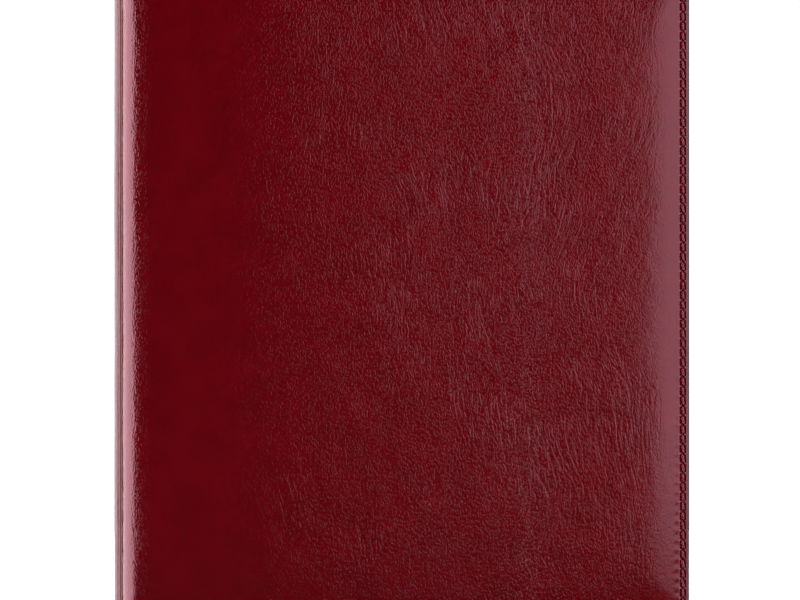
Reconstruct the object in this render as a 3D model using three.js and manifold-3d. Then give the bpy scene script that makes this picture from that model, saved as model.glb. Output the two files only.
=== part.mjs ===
// A padded leather coin album standing on its lower edge: a hinged case, four rings and punched leaves.
// Millimetres, +Z up. X runs from the spine (-X) to the fore-edge (+X), and the front cover faces -Y.
import * as THREE from "three";
import { mergeVertices } from "three/addons/utils/BufferGeometryUtils.js";
import Module from "manifold-3d";

const wasm = await Module();
wasm.setup();

// Driving dimensions
const WIDTH = 240; // spine to fore-edge
const HEIGHT = 275;
const DEPTH = 50; // front to back over the padding
const GAP = 0.3; // glue line or running gap between neighbouring pieces
const LEATHER = 1;
const PADDING = 2.2;
const BOARD = 2.1;
const LINING = 0.8;
const BORDER = 3.4; // flat stitched border around the padding
const LINING_OVERHANG = 0.7; // the lining shows past the leather along the fore-edge
const EDGE_BEVEL = 0.8; // bevel of the leather along the fore-edge
const THREAD = 0.6; // width of a line of stitches
const STITCH_INSET = 2.1; // from the leather's edge to the line
const HINGE_RADIUS = 10.4; // round of the cover where it turns in to the hinge crease
const BOARD_SETBACK = 8.7; // from the crease to the cover board
const LINING_SETBACK = 9.4; // from the crease to the cover lining
const GUSSET = { thickness: 0.5, fold: 1.9 }; // the fold stops this far short of the crease
const SPINE_BULGE = 2.6; // the spine stands this far out of the creases
const SPINE_PADDING = 1.6;
const SPINE_BOARD_INSET = 2; // from the crease to the spine board's edge
const RING_HEIGHT = 17.5; // from the spine's inside face to the rings' centres
const RING_RADIUS = 13.5; // centre line of the wire
const WIRE = 3;
const RING_SPACING = 70;
const RING_COUNT = 4;
const LEAF_COUNT = 6;
const LEAF_SIZE = { width: 200, height: 252 };
const LEAF_PITCH = 2.2; // one pocket page and its interleaf
const PAGE = 0.8;
const INTERLEAF = 0.5;

// Places worked out from them
const MIDDLE = HEIGHT / 2;
const FORE_EDGE = WIDTH / 2;
const SPINE_OUTSIDE = -WIDTH / 2;
const CREASE_X = SPINE_OUTSIDE + SPINE_BULGE;
const CREASE_Y = -DEPTH / 2 + HINGE_RADIUS;
const LEATHER_EDGE = FORE_EDGE - LINING_OVERHANG;
const PAD_UNDERSIDE = LEATHER + GAP + PADDING; // depths are measured in from the cover's outer face
const BORDER_DEPTH = PAD_UNDERSIDE - LEATHER;
const BOARD_TOP = PAD_UNDERSIDE + GAP;
const BOARD_UNDERSIDE = BOARD_TOP + BOARD;
const LINING_TOP = BOARD_UNDERSIDE + GAP;
const COVER_DEPTH = LINING_TOP + LINING;
const BOARD_HINGE_EDGE = CREASE_X + BOARD_SETBACK;
const LINING_HINGE_EDGE = CREASE_X + LINING_SETBACK;

const SPINE_BOARD_OUTSIDE = SPINE_OUTSIDE + LEATHER + GAP + SPINE_PADDING + GAP;
const SPINE_LINING_OUTSIDE = SPINE_BOARD_OUTSIDE + BOARD + GAP;
const SPINE_INSIDE = SPINE_LINING_OUTSIDE + LINING;
const HALF_SPINE = -CREASE_Y; // half the width of the spine panel

// Ring mechanism
const HOUSING = { length: 240, halfWidth: 9.5, height: 5.5, sheet: 0.8, shoulder: 2.2, lip: 1.8 };
const HOUSING_SLOT = { bottom: 2.5, inner: 4.2, outer: 9, halfWidth: 2.3 }; // where a leg passes
const PLATE = { bottom: 1.9, thickness: 0.9, inner: GAP, outer: 8.2, length: 236 };
const LEG = { y: 6.3, top: 5 }; // where a ring's legs stand on the plates, and how high they are straight
const ARC_END = THREE.MathUtils.degToRad(140); // the ring is round this far each way from its tips
const RING_CENTRE = SPINE_INSIDE + RING_HEIGHT;
const RIVET = { head: 3.5, dome: 1.4, shank: 1.4, hole: 1.7, tail: 0.6 };
const LEVER_PIVOT = MIDDLE - HOUSING.length / 2;
const TONGUE = { halfWidth: 1.5, bottom: 0.7, top: 1.6, tail: -1.5, tip: 3 };
const THUMB_HALF_WIDTH = 4;

// Leaves
const PUNCH = { length: 7, width: 5, shift: 0.9, margin: 7.5 }; // slots, and the shift of their centres
const CORNER = 3; // rounded corners of the leaves

// Materials
const surface = (color, roughness, metalness = 0) =>
  new THREE.MeshStandardMaterial({ color, roughness, metalness });
const burgundyLeather = () => surface(0x5c0814, 0.35);
const blackLining = () => surface(0x17120f, 0.7);
const whiteFoam = () => surface(0xe8e4dc, 0.9);
const greyBoard = () => surface(0x9b948a, 0.9);
const burgundyThread = () => surface(0x6e1420, 0.6);
const nickelSteel = () => surface(0xc9cacc, 0.22, 1);
const blackCard = () => surface(0x1b1b1d, 0.8);
function clearFilm() {
  const film = surface(0xdfe6ea, 0.15);
  film.transparent = true;
  film.opacity = 0.4;
  return film;
}

// Geometry helpers
function toSolid(geometry) {
  const bare = geometry.clone();
  bare.deleteAttribute("normal");
  bare.deleteAttribute("uv");
  const merged = mergeVertices(bare, 1e-4);
  return new wasm.Manifold(
    new wasm.Mesh({
      numProp: 3,
      vertProperties: new Float32Array(merged.attributes.position.array),
      triVerts: new Uint32Array(merged.index.array),
    }),
  );
}

function toGeometry(solid) {
  const { vertProperties, triVerts } = solid.getMesh();
  const geometry = new THREE.BufferGeometry();
  geometry.setAttribute("position", new THREE.BufferAttribute(vertProperties, 3));
  geometry.setIndex(new THREE.BufferAttribute(triVerts, 1));
  geometry.computeVertexNormals();
  return geometry;
}

function piece(name, geometry, material) {
  const mesh = new THREE.Mesh(geometry, material);
  mesh.name = name;
  return mesh;
}

const outline = (points) => new THREE.Shape(points.map(([x, y]) => new THREE.Vector2(x, y)));

function arc(centreX, centreY, radius, from, to, steps) {
  return Array.from({ length: steps + 1 }, (_, i) => {
    const angle = THREE.MathUtils.degToRad(from + ((to - from) * i) / steps);
    return [centreX + radius * Math.cos(angle), centreY + radius * Math.sin(angle)];
  });
}

// A plan outline (x, y) raised from z = low to z = high.
function raise(shape, low, high) {
  const geometry = new THREE.ExtrudeGeometry(shape, { depth: high - low, bevelEnabled: false });
  return geometry.translate(0, 0, low);
}

// A side outline (y, z) swept along X.
function sweepX(shape, low, high) {
  const geometry = new THREE.ExtrudeGeometry(shape, { depth: high - low, bevelEnabled: false });
  const turn = new THREE.Matrix4().set(0, 0, 1, low, 1, 0, 0, 0, 0, 1, 0, 0, 0, 0, 0, 1);
  return geometry.applyMatrix4(turn);
}

// A front outline (x, z) swept along Y.
function sweepY(shape, low, high) {
  const geometry = new THREE.ExtrudeGeometry(shape, { depth: high - low, bevelEnabled: false });
  const turn = new THREE.Matrix4().set(1, 0, 0, 0, 0, 0, -1, high, 0, 1, 0, 0, 0, 0, 0, 1);
  return geometry.applyMatrix4(turn);
}

function block(low, high) {
  const size = high.map((value, axis) => value - low[axis]);
  const centre = high.map((value, axis) => (value + low[axis]) / 2);
  return new THREE.BoxGeometry(...size).translate(...centre);
}

const rodAlongX = (radius, low, high, z) =>
  new THREE.CylinderGeometry(radius, radius, high - low, 16)
    .rotateZ(Math.PI / 2)
    .translate((low + high) / 2, 0, z);

const frontY = (depth) => -DEPTH / 2 + depth;

// The round of a cover towards its crease, this far inside the leather's face.
const hingeRound = (offset, from, steps) =>
  arc(CREASE_X + HINGE_RADIUS, CREASE_Y, HINGE_RADIUS - offset, from, 270, steps);

// The round of the padding towards the fore-edge's border.
const padRound = (offset, steps) =>
  arc(LEATHER_EDGE - BORDER - BORDER_DEPTH, frontY(BORDER_DEPTH), BORDER_DEPTH - offset, -90, 0, steps);

// Case: cover. It is drawn as the front cover; the back cover is its mirror image.
function coverPlan(offset, inside) {
  const start = 180 + THREE.MathUtils.radToDeg(Math.asin(GAP / (HINGE_RADIUS - offset)));
  return outline([...hingeRound(offset, start, 8), ...padRound(offset, 3), ...inside]);
}

// Side outline (y, z) of the cover from the tail up to the padding's top, mirrored at the head.
function coverSide(offset, tail) {
  const rise = arc(
    BORDER + BORDER_DEPTH,
    frontY(BORDER_DEPTH),
    BORDER_DEPTH - offset,
    180,
    270,
    3,
  );
  const lower = [...tail, ...rise];
  const upper = lower.map(([z, y]) => [HEIGHT - z, y]).reverse();
  return sweepX(outline([...lower, ...upper].map(([z, y]) => [y, z])), SPINE_OUTSIDE, FORE_EDGE);
}

function coverLeather() {
  const edge = LEATHER_EDGE;
  const wall = edge - LEATHER;
  const inner = frontY(BOARD_UNDERSIDE);
  const underside = frontY(PAD_UNDERSIDE);
  const open = CREASE_Y + 2 * GAP; // past the leather's own inner faces
  const outsidePlan = coverPlan(0, [
    [edge - EDGE_BEVEL, frontY(BORDER_DEPTH)],
    [edge, frontY(BORDER_DEPTH + EDGE_BEVEL)],
    [edge, inner],
    [BOARD_HINGE_EDGE, inner],
    [CREASE_X + LEATHER, CREASE_Y - GAP],
  ]);
  const cavityPlan = coverPlan(LEATHER, [
    [edge - BORDER - LEATHER, underside],
    [wall, underside],
    [wall, open],
    [CREASE_X + LEATHER, open],
  ]);
  const outsideTail = [
    [0, CREASE_Y],
    [0, frontY(BORDER_DEPTH)],
  ];
  const cavityTail = [
    [LEATHER, open],
    [LEATHER, underside],
    [BORDER + LEATHER, underside],
  ];
  const outside = toSolid(raise(outsidePlan, 0, HEIGHT)).intersect(
    toSolid(coverSide(0, outsideTail)),
  );
  const cavity = toSolid(raise(cavityPlan, LEATHER, HEIGHT - LEATHER)).intersect(
    toSolid(coverSide(LEATHER, cavityTail)),
  );
  return toGeometry(outside.subtract(cavity));
}

function coverPadding() {
  const offset = LEATHER + GAP;
  const underside = frontY(PAD_UNDERSIDE);
  const rolled = BOARD_HINGE_EDGE - GAP; // the padding rolls round the board's hinge edge
  const tuck = { angle: 195, width: 4.5, depth: COVER_DEPTH + 2 * GAP }; // and ends short of the crease
  const plan = outline([
    ...hingeRound(offset, tuck.angle, 6),
    ...padRound(offset, 2),
    [LEATHER_EDGE - BORDER - offset, underside],
    [rolled, underside],
    [rolled, frontY(BOARD_UNDERSIDE)],
    [rolled - tuck.width, frontY(tuck.depth)],
  ]);
  const tail = [[BORDER + offset, CREASE_Y]];
  return toGeometry(
    toSolid(raise(plan, offset, HEIGHT - offset)).intersect(toSolid(coverSide(offset, tail))),
  );
}

function coverBoard() {
  const margin = LEATHER + GAP;
  return block(
    [BOARD_HINGE_EDGE, frontY(BOARD_TOP), margin],
    [LEATHER_EDGE - margin, frontY(BOARD_UNDERSIDE), HEIGHT - margin],
  );
}

function coverLining() {
  return block([LINING_HINGE_EDGE, frontY(LINING_TOP), 0], [FORE_EDGE, frontY(COVER_DEPTH), HEIGHT]);
}

// One run of lockstitching along the head, the fore-edge and the tail.
function stitchRun(depth) {
  const half = THREAD / 2;
  const start = CREASE_X + HINGE_RADIUS + 1;
  const far = LEATHER_EDGE - STITCH_INSET;
  const low = STITCH_INSET;
  const high = HEIGHT - STITCH_INSET;
  const path = [
    [start, low - half],
    [far + half, low - half],
    [far + half, high + half],
    [start, high + half],
    [start, high - half],
    [far - half, high - half],
    [far - half, low + half],
    [start, low + half],
  ];
  return sweepY(outline(path), frontY(depth), frontY(depth + GAP));
}

function cover(side) {
  const group = new THREE.Group();
  group.add(
    piece(`${side}_leather`, coverLeather(), burgundyLeather()),
    piece(`${side}_padding`, coverPadding(), whiteFoam()),
    piece(`${side}_board`, coverBoard(), greyBoard()),
    piece(`${side}_lining`, coverLining(), blackLining()),
    piece(`${side}_stitching`, stitchRun(BORDER_DEPTH - 2 * GAP), burgundyThread()),
    piece(`${side}_inner_stitching`, stitchRun(COVER_DEPTH + GAP), burgundyThread()),
    piece(`${side}_hinge_strip`, hingeStrip(), blackLining()),
  );
  return group;
}

// The gusset of lining that folds into the corner between cover and spine.
function hingeStrip() {
  const { thickness, fold } = GUSSET;
  const edge = LINING_HINGE_EDGE - GAP;
  const face = frontY(COVER_DEPTH) - GAP;
  const outer = [
    [edge, face - thickness / 2],
    [CREASE_X + fold, CREASE_Y - thickness],
    [CREASE_X + fold, CREASE_Y],
    [SPINE_INSIDE, CREASE_Y],
  ];
  const inner = [
    [SPINE_INSIDE, CREASE_Y - thickness],
    [CREASE_X + fold + 2 * thickness, CREASE_Y - thickness],
    [edge, face + thickness / 2],
  ];
  return raise(outline([...outer, ...inner].reverse()), LEATHER, HEIGHT - LEATHER);
}

// Case: spine. Its outside is one shallow arc between the creases.
const SPINE_ARC = (HALF_SPINE ** 2 + SPINE_BULGE ** 2) / (2 * SPINE_BULGE);
const SPINE_CENTRE = SPINE_OUTSIDE + SPINE_ARC;

function spineArc(offset, halfWidth, steps) {
  const radius = SPINE_ARC - offset;
  const angle = THREE.MathUtils.radToDeg(Math.asin(halfWidth / radius));
  return arc(SPINE_CENTRE, 0, radius, 180 - angle, 180 + angle, steps);
}

function spineLeather() {
  const inside = SPINE_LINING_OUTSIDE - GAP;
  const outside = outline([...spineArc(0, HALF_SPINE, 8), [inside, -HALF_SPINE], [inside, HALF_SPINE]]);
  const open = HALF_SPINE + 2;
  const cavity = outline([...spineArc(LEATHER, open, 8), [0, -open], [0, open]]);
  return toGeometry(
    toSolid(raise(outside, 0, HEIGHT)).subtract(toSolid(raise(cavity, LEATHER, HEIGHT - LEATHER))),
  );
}

function spinePadding() {
  const offset = LEATHER + GAP;
  const flat = SPINE_BOARD_OUTSIDE - GAP;
  const halfWidth = Math.sqrt((SPINE_ARC - offset) ** 2 - (SPINE_CENTRE - flat) ** 2);
  return raise(outline(spineArc(offset, halfWidth, 6)), offset, HEIGHT - offset);
}

const rivetHeights = [MIDDLE - RING_SPACING, MIDDLE + RING_SPACING];

function withRivetHoles(geometry) {
  const drill = (solid, z) =>
    solid.subtract(toSolid(rodAlongX(RIVET.hole, SPINE_OUTSIDE, RING_CENTRE, z)));
  return toGeometry(rivetHeights.reduce(drill, toSolid(geometry)));
}

function spineBoard() {
  const halfWidth = HALF_SPINE - SPINE_BOARD_INSET;
  const margin = LEATHER + GAP;
  return withRivetHoles(
    block(
      [SPINE_BOARD_OUTSIDE, -halfWidth, margin],
      [SPINE_BOARD_OUTSIDE + BOARD, halfWidth, HEIGHT - margin],
    ),
  );
}

function spineLining() {
  const halfWidth = HALF_SPINE - GAP;
  return withRivetHoles(
    block([SPINE_LINING_OUTSIDE, -halfWidth, 0], [SPINE_INSIDE, halfWidth, HEIGHT]),
  );
}

// Ring mechanism. Heights h are measured from the spine's inside face, along +X.
const above = (h) => SPINE_INSIDE + h;
const ringHeights = Array.from(
  { length: RING_COUNT },
  (_, i) => MIDDLE + (i - (RING_COUNT - 1) / 2) * RING_SPACING,
);

function ringHousing() {
  const { length, halfWidth, height, sheet, shoulder, lip } = HOUSING;
  const corner = [halfWidth - shoulder, height - shoulder];
  const right = [
    [halfWidth - lip, GAP],
    [halfWidth, GAP],
    ...arc(...corner, shoulder, 0, 90, 3),
  ];
  const rightInner = [
    ...arc(...corner, shoulder - sheet, 90, 0, 3),
    [halfWidth - sheet, GAP + sheet],
    [halfWidth - lip, GAP + sheet],
  ];
  const mirrored = (points) => points.map(([y, h]) => [-y, h]).reverse();
  const section = [...right, ...mirrored(right), ...mirrored(rightInner), ...rightInner];
  const shape = outline(section.map(([y, h]) => [above(h), y]));
  const slots = ringHeights.flatMap((z) => [legSlot(z, 1), legSlot(z, -1)]);
  const solid = slots.reduce(
    (rest, slot) => rest.subtract(toSolid(slot)),
    toSolid(raise(shape, MIDDLE - length / 2, MIDDLE + length / 2)),
  );
  return withRivetHoles(toGeometry(solid));
}

// The slot in the housing through which a ring's leg stands, on the +Y side (1) or the -Y side (-1).
function legSlot(z, side) {
  const { bottom, inner, outer, halfWidth } = HOUSING_SLOT;
  const [low, high] = [side * inner, side * outer].sort((a, b) => a - b);
  return block([above(bottom), low, z - halfWidth], [above(HOUSING.height + 1), high, z + halfWidth]);
}

function ringPlate() {
  const { bottom, thickness, inner, outer, length } = PLATE;
  const plate = block(
    [above(bottom), -outer, MIDDLE - length / 2],
    [above(bottom + thickness), -inner, MIDDLE + length / 2],
  );
  const notch = (solid, z) =>
    solid.subtract(toSolid(rodAlongX(RIVET.hole + GAP, above(0), above(HOUSING.height), z)));
  return toGeometry(rivetHeights.reduce(notch, toSolid(plate)));
}

// Half a ring: a leg that stands on the plate, then a round to the tip.
function ringHalf(z) {
  const tip = Math.asin(GAP / 2 / RING_RADIUS);
  const roundPoints = 18;
  const round = Array.from({ length: roundPoints }, (_, i) => {
    const angle = ARC_END + ((tip - ARC_END) * i) / (roundPoints - 1);
    return [RING_CENTRE + RING_RADIUS * Math.cos(angle), -RING_RADIUS * Math.sin(angle)];
  });
  const leg = [
    [above(PLATE.bottom + PLATE.thickness + GAP), -LEG.y],
    [above(LEG.top), -LEG.y],
  ];
  const path = new THREE.CatmullRomCurve3(
    [...leg, ...round].map(([x, y]) => new THREE.Vector3(x, y, z)),
    false,
    "centripetal",
  );
  const sides = 8;
  const section = outline(arc(0, 0, WIRE / 2, 0, 360 * (1 - 1 / sides), sides - 1));
  return new THREE.ExtrudeGeometry(section, { steps: 22, bevelEnabled: false, extrudePath: path });
}

function mountRivet(z) {
  const { head, dome, shank, tail } = RIVET;
  const top = HOUSING.height + GAP;
  const end = SPINE_BOARD_OUTSIDE - SPINE_INSIDE + tail;
  const round = arc(0, 0, 1, 0, 90, 3).map(([r, h]) => [r * head, top + h * dome]);
  const profile = [[0, end], [shank, end], [shank, top], ...round.slice(0, -1), [0, top + dome]];
  return new THREE.LatheGeometry(profile.map(([r, h]) => new THREE.Vector2(r, h)), 16)
    .rotateZ(-Math.PI / 2)
    .translate(SPINE_INSIDE, 0, z);
}

// Thumb lever at the tail end, which rocks where the housing ends: a narrow tongue under the plates and
// a wide thumb piece outside. The side outline is [z from the pivot, height].
function lever() {
  const tongue = [
    [TONGUE.tip, TONGUE.bottom],
    [TONGUE.tip, TONGUE.top],
    [TONGUE.tail, TONGUE.top],
    [TONGUE.tail, TONGUE.bottom],
  ];
  const thumb = [
    [-0.5, 0.8],
    [-0.5, 1.7],
    [-5.5, 4],
    [-9.2, 6.9],
    [-10.3, 6.9],
    [-10.3, 5],
    [-6.3, 2.5],
    [-2, 0.8],
  ];
  const side = (points) => outline(points.map(([z, h]) => [above(h), LEVER_PIVOT + z]).reverse());
  const bar = (points, halfWidth) => toSolid(sweepY(side(points), -halfWidth, halfWidth));
  return toGeometry(bar(tongue, TONGUE.halfWidth).add(bar(thumb, THUMB_HALF_WIDTH)));
}

function ringSet(side) {
  const group = new THREE.Group();
  group.add(piece(`${side}_ring_plate`, ringPlate(), nickelSteel()));
  ringHeights.forEach((z, i) =>
    group.add(piece(`${side}_ring_half_${i + 1}`, ringHalf(z), nickelSteel())),
  );
  return group;
}

// Leaves: each is a clear pocket page with a black interleaf behind it, punched for the rings.
function punchedSheet(y, thickness) {
  const { width, height } = LEAF_SIZE;
  const hole = RING_CENTRE + Math.sqrt(RING_RADIUS ** 2 - (y + thickness / 2) ** 2);
  const left = hole - PUNCH.margin;
  const low = MIDDLE - height / 2;
  const shape = outline([
    ...arc(left + CORNER, low + CORNER, CORNER, 180, 270, 2),
    ...arc(left + width - CORNER, low + CORNER, CORNER, 270, 360, 2),
    ...arc(left + width - CORNER, low + height - CORNER, CORNER, 0, 90, 2),
    ...arc(left + CORNER, low + height - CORNER, CORNER, 90, 180, 2),
  ]);
  const radius = PUNCH.width / 2;
  const reach = PUNCH.length / 2 - radius;
  const centre = hole + PUNCH.shift;
  for (const z of ringHeights) {
    const round = [
      ...arc(centre + reach, z, radius, -90, 90, 4),
      ...arc(centre - reach, z, radius, 90, 270, 4),
    ];
    shape.holes.push(outline(round));
  }
  return sweepY(shape, y, y + thickness);
}

function leaf(number) {
  const y = (number - 1 - LEAF_COUNT / 2) * LEAF_PITCH;
  const group = new THREE.Group();
  group.add(
    piece(`coin_page_${number}`, punchedSheet(y, PAGE), clearFilm()),
    piece(`interleaf_${number}`, punchedSheet(y + PAGE + GAP, INTERLEAF), blackCard()),
  );
  return group;
}

// Assembly
function spine() {
  const group = new THREE.Group();
  group.add(
    piece("spine_leather", spineLeather(), burgundyLeather()),
    piece("spine_padding", spinePadding(), whiteFoam()),
    piece("spine_board", spineBoard(), greyBoard()),
    piece("spine_lining", spineLining(), blackLining()),
  );
  return group;
}

function ringMechanism() {
  const group = new THREE.Group();
  const backSet = ringSet("back");
  backSet.scale.y = -1;
  const headLever = piece("head_lever", lever(), nickelSteel());
  headLever.scale.z = -1;
  headLever.position.z = HEIGHT;
  group.add(
    piece("ring_housing", ringHousing(), nickelSteel()),
    piece("tail_rivet", mountRivet(rivetHeights[0]), nickelSteel()),
    piece("head_rivet", mountRivet(rivetHeights[1]), nickelSteel()),
    piece("tail_lever", lever(), nickelSteel()),
    headLever,
    ringSet("front"),
    backSet,
  );
  return group;
}

const backCover = cover("back");
backCover.scale.y = -1;

const album = new THREE.Group();
album.name = "coin_album";
album.add(cover("front"), backCover, spine(), ringMechanism());
for (let number = 1; number <= LEAF_COUNT; number += 1) {
  album.add(leaf(number));
}

export default album;
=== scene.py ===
"""Looks of the coin album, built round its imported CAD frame.

The case stands on its tail with the spine at -X and the front cover facing -Y. Blender works in metres, and
the shapes here are worked out in millimetres: each cover's points are (x, depth, z), where depth is measured
in from the album's outer face, so that the back cover is the front cover's mirror image.
"""
import math

import bmesh
import bpy
import numpy as np
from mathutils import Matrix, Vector

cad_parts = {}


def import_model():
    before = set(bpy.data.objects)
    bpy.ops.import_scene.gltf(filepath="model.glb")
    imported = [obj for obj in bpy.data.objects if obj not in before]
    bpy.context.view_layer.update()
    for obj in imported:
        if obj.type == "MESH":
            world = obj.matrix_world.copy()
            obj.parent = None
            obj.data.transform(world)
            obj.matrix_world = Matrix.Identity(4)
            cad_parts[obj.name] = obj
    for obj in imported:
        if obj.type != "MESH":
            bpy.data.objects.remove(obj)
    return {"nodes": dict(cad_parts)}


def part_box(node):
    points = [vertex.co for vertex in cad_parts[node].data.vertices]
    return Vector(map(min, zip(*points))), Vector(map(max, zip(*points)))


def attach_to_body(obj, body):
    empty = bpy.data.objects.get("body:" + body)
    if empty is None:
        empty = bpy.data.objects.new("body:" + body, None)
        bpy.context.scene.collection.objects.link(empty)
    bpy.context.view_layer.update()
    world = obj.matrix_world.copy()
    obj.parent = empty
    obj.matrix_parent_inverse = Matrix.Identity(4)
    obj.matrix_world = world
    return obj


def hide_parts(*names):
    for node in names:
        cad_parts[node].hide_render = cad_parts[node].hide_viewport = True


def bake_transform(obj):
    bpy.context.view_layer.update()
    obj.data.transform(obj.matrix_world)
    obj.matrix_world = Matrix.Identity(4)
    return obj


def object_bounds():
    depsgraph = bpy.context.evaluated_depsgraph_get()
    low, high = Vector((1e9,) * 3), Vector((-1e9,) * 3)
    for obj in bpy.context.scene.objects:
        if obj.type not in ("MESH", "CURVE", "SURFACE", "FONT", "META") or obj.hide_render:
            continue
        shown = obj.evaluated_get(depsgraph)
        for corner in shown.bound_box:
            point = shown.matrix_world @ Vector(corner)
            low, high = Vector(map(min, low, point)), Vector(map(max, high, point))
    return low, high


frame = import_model()
CAD_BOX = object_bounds()

MM = 0.001
SIDES = {"front": -1, "back": 1}
RINGS = range(1, 5)
LEAVES = range(1, 7)
SEEDS = {"front": 11, "back": 57, "spine": 91}  # of the leather's unevenness


# Measures from the frame, in millimetres

def box_mm(node):
    low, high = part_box(node)
    return np.array(low) / MM, np.array(high) / MM


ALBUM_LOW, ALBUM_HIGH = (np.array(corner) / MM for corner in CAD_BOX)
HALF_DEPTH = ALBUM_HIGH[1]
HEIGHT = ALBUM_HIGH[2]
MIDDLE = HEIGHT / 2
LEATHER_LOW, LEATHER_HIGH = box_mm("front_leather")
BOARD_LOW, BOARD_HIGH = box_mm("front_board")
LINING_LOW, LINING_HIGH = box_mm("front_lining")
SEAM_START = box_mm("front_stitching")[0][0]  # x at which the stitching along head and tail begins
SPINE_HIGH = box_mm("spine_leather")[1]
SPINE_LINING_LOW, SPINE_LINING_HIGH = box_mm("spine_lining")

CREASE_X = LEATHER_LOW[0]
LEATHER_EDGE = LEATHER_HIGH[0]
HALF_SPINE = SPINE_HIGH[1]
CREASE_Y = (HALF_SPINE - LEATHER_HIGH[1]) / 2  # the hinges' axes, between the leather of cover and spine
CREASE_DEPTH = HALF_DEPTH - CREASE_Y
HINGE_RADIUS = HALF_DEPTH - HALF_SPINE
HINGE_CENTRE = CREASE_X + HINGE_RADIUS
BOARD_UNDERSIDE = HALF_DEPTH + BOARD_HIGH[1]
LINING_TOP = HALF_DEPTH + LINING_LOW[1]
COVER_DEPTH = HALF_DEPTH + LINING_HIGH[1]
GAP = LINING_TOP - BOARD_UNDERSIDE
SPINE_INSIDE = SPINE_LINING_HIGH[0]

# The padded leather, in millimetres
HIGHEST_X = -40.0  # where a cover is thickest
BORDER_DEPTH = 2.5  # how far the stitched border lies below the padding's top
BORDER = 3.3  # from the edge to the foot of the padding
ROLL = 0.7  # width of the padding's steep side
SHOULDER = {"drop": 1.7, "reach": 11.0}  # the gentle fall before it
CROWN = 0.4  # the padding is this much lower half a cover's width from its highest line
BEAD = 0.6  # radius of the rounded outermost edge
SEAM = {"line": 1.9, "half": 1.05, "depth": 0.6}  # groove that the stitches lie in
CORNER = 2.5  # plan radius of the covers' corners
CORNER_BLEND = 9.0  # how far the padding's corners are rounded
CREASE = {"depth": 1.5, "cover_width": 1.9, "spine_width": 0.9}  # the pressed valley beside the spine
STITCH_PITCH = 4.0
STITCH_LENGTH = 3.5
STITCH_SLANT = {"middle": 0.25, "spread": 0.12}  # how far a stitch's ends lie off the seam's line
STITCH_RISE = {"middle": 0.25, "spread": 0.04}  # the thread's middle above the groove that it lies in
STITCH_DIVE = 0.6  # how deep its ends go into their holes
THREAD_RADIUS = 0.55
PLY_TURN = 3 * math.pi  # how far the thread's ply turns in one stitch
TURN_IN = 7.0  # leather turned in behind the board
EDGE_TURN = ((0.0, 0.35), (0.1, 0.1), (0.35, 0.0), (TURN_IN, 0.0))  # (inset, lift off the board's underside)
LEAST_WALL = 0.05  # height of the leather's edge, where the border lies deepest
PUCKER = {"height": 0.05, "inside": 1.2}  # leather gathered by each stitch, this far inside the border
SPINE_ROUND = 0.8  # rounded head and tail of the spine
SPINE_GRAIN = 60  # shifts the spine's grain away from the covers'
LEATHER = 0.45  # thickness that the foam keeps clear of
FOAM_ROUND = 2.0
LINING_ROUND = 0.25
LINING_GROOVE = 0.15  # pressed in by the stitches
LINING_LEDGE = 0.12  # the turned-in leather lifts the lining this much
LINING_BEND = 0.8  # how far beside the spine the hinge's cloth bends

# The leather's unevenness, in millimetres
FOLDED_X = 53.0  # where the folds that run up the cover are deepest
WRINKLES = (  # how strongly a cover is wrinkled, as (x, share)
    (CREASE_X, 0.2), (HINGE_CENTRE - 7, 0.25), (HINGE_CENTRE - 5, 0.6), (HINGE_CENTRE - 3, 0.9),
    (HINGE_CENTRE - 0.5, 0.7), (HINGE_CENTRE + 3, 0.08), (HINGE_CENTRE + 28, 0.10), (HIGHEST_X, 0.6),
    (20.0, 0.9), (FOLDED_X - 14, 0.9), (FOLDED_X, 1.2), (FOLDED_X + 14, 0.9), (LEATHER_EDGE - 28, 0.8),
    (LEATHER_EDGE - 17, 0.35), (LEATHER_EDGE - 11, 0.1), (LEATHER_EDGE, 0.1))
WRINKLE_START = (3, 14)  # from an edge: where the wrinkles set in, and where they are at full strength
LEAST_WRINKLES = 0.05
SPINE_WRINKLES = {"mesh": 0.6, "material": 0.45}
SWELLS = ((0.10, 34, 41, 0), (0.05, 13, 17, 2))  # of the padding: height, width, length, added to the seed
CREASES = ((0.04, 6, 13, 4), (0.08, 1.7, 6, 7))  # of the leather: depth, width, length, added to the seed
RELIEF_START = (2.8, 6)  # from an edge: where the unevenness sets in, and where it is at full height

# The leaves and the ring binder, in millimetres
PUNCH = {"length": 7.0, "width": 5.0, "margin": 7.5, "shift": 0.9}  # slots, from the binding edge
PAGE_CORNER = 3.0
FILM = 0.25
FILM_EDGE = 0.05  # its edges' rounding
BINDING = 17.0  # punched strip beside the pockets
WELD = 4.0  # plain rim of a page
POCKETS = (4, 5)
POCKET_WELD = 1.2  # half the width of a weld
POCKET_FILM = 0.06  # thickness of a pocket's own film
RIB = 0.12  # height of a weld's ribs
NOTCH = {"depth": 5.0, "half": 9.0}  # thumb notch of a pocket
RING_LEG = 6.3  # how far from the middle a ring's legs rise
RIVET = {"head": 1.4, "shank": 1.4}  # height of the head, radius of the shank
PRESSED_EDGE = 0.15  # rounding of the pressed steel's edges

# Looks
LEATHER_RED = (0.066, 0.0002, 0.0016)
LEATHER_DARK = (0.056, 0.0002, 0.0013)
# painted shade: the leather's colour in its grain's valleys, in the stitches' groove and in the crease beside
# the spine
LEATHER_CREASE_SHADE = (0.033, 0.0001, 0.0005)
# painted shade inside the needle holes
LEATHER_HOLE_SHADE = (0.012, 0.0, 0.0005)
LEATHER_RELIEF = 0.18  # height of the material's grain and folds, in millimetres
FOLD_SHARE = 0.6  # of that height; the grain has the rest
GLOSS_TINT = (1.0, 0.54, 0.67, 1.0)
SENSOR = 36.0
CAMERA_DISTANCE = 5.0
CAMERA_X = -0.0005
PICTURE_WIDTH = 0.3331  # what the picture takes in at the front cover


# Mesh helpers

def link(name, data, *materials):
    """A new object in the scene from a mesh, a light or a camera."""
    obj = bpy.data.objects.new(name, data)
    bpy.context.scene.collection.objects.link(obj)
    for material in materials:
        data.materials.append(material)
    return obj


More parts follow.
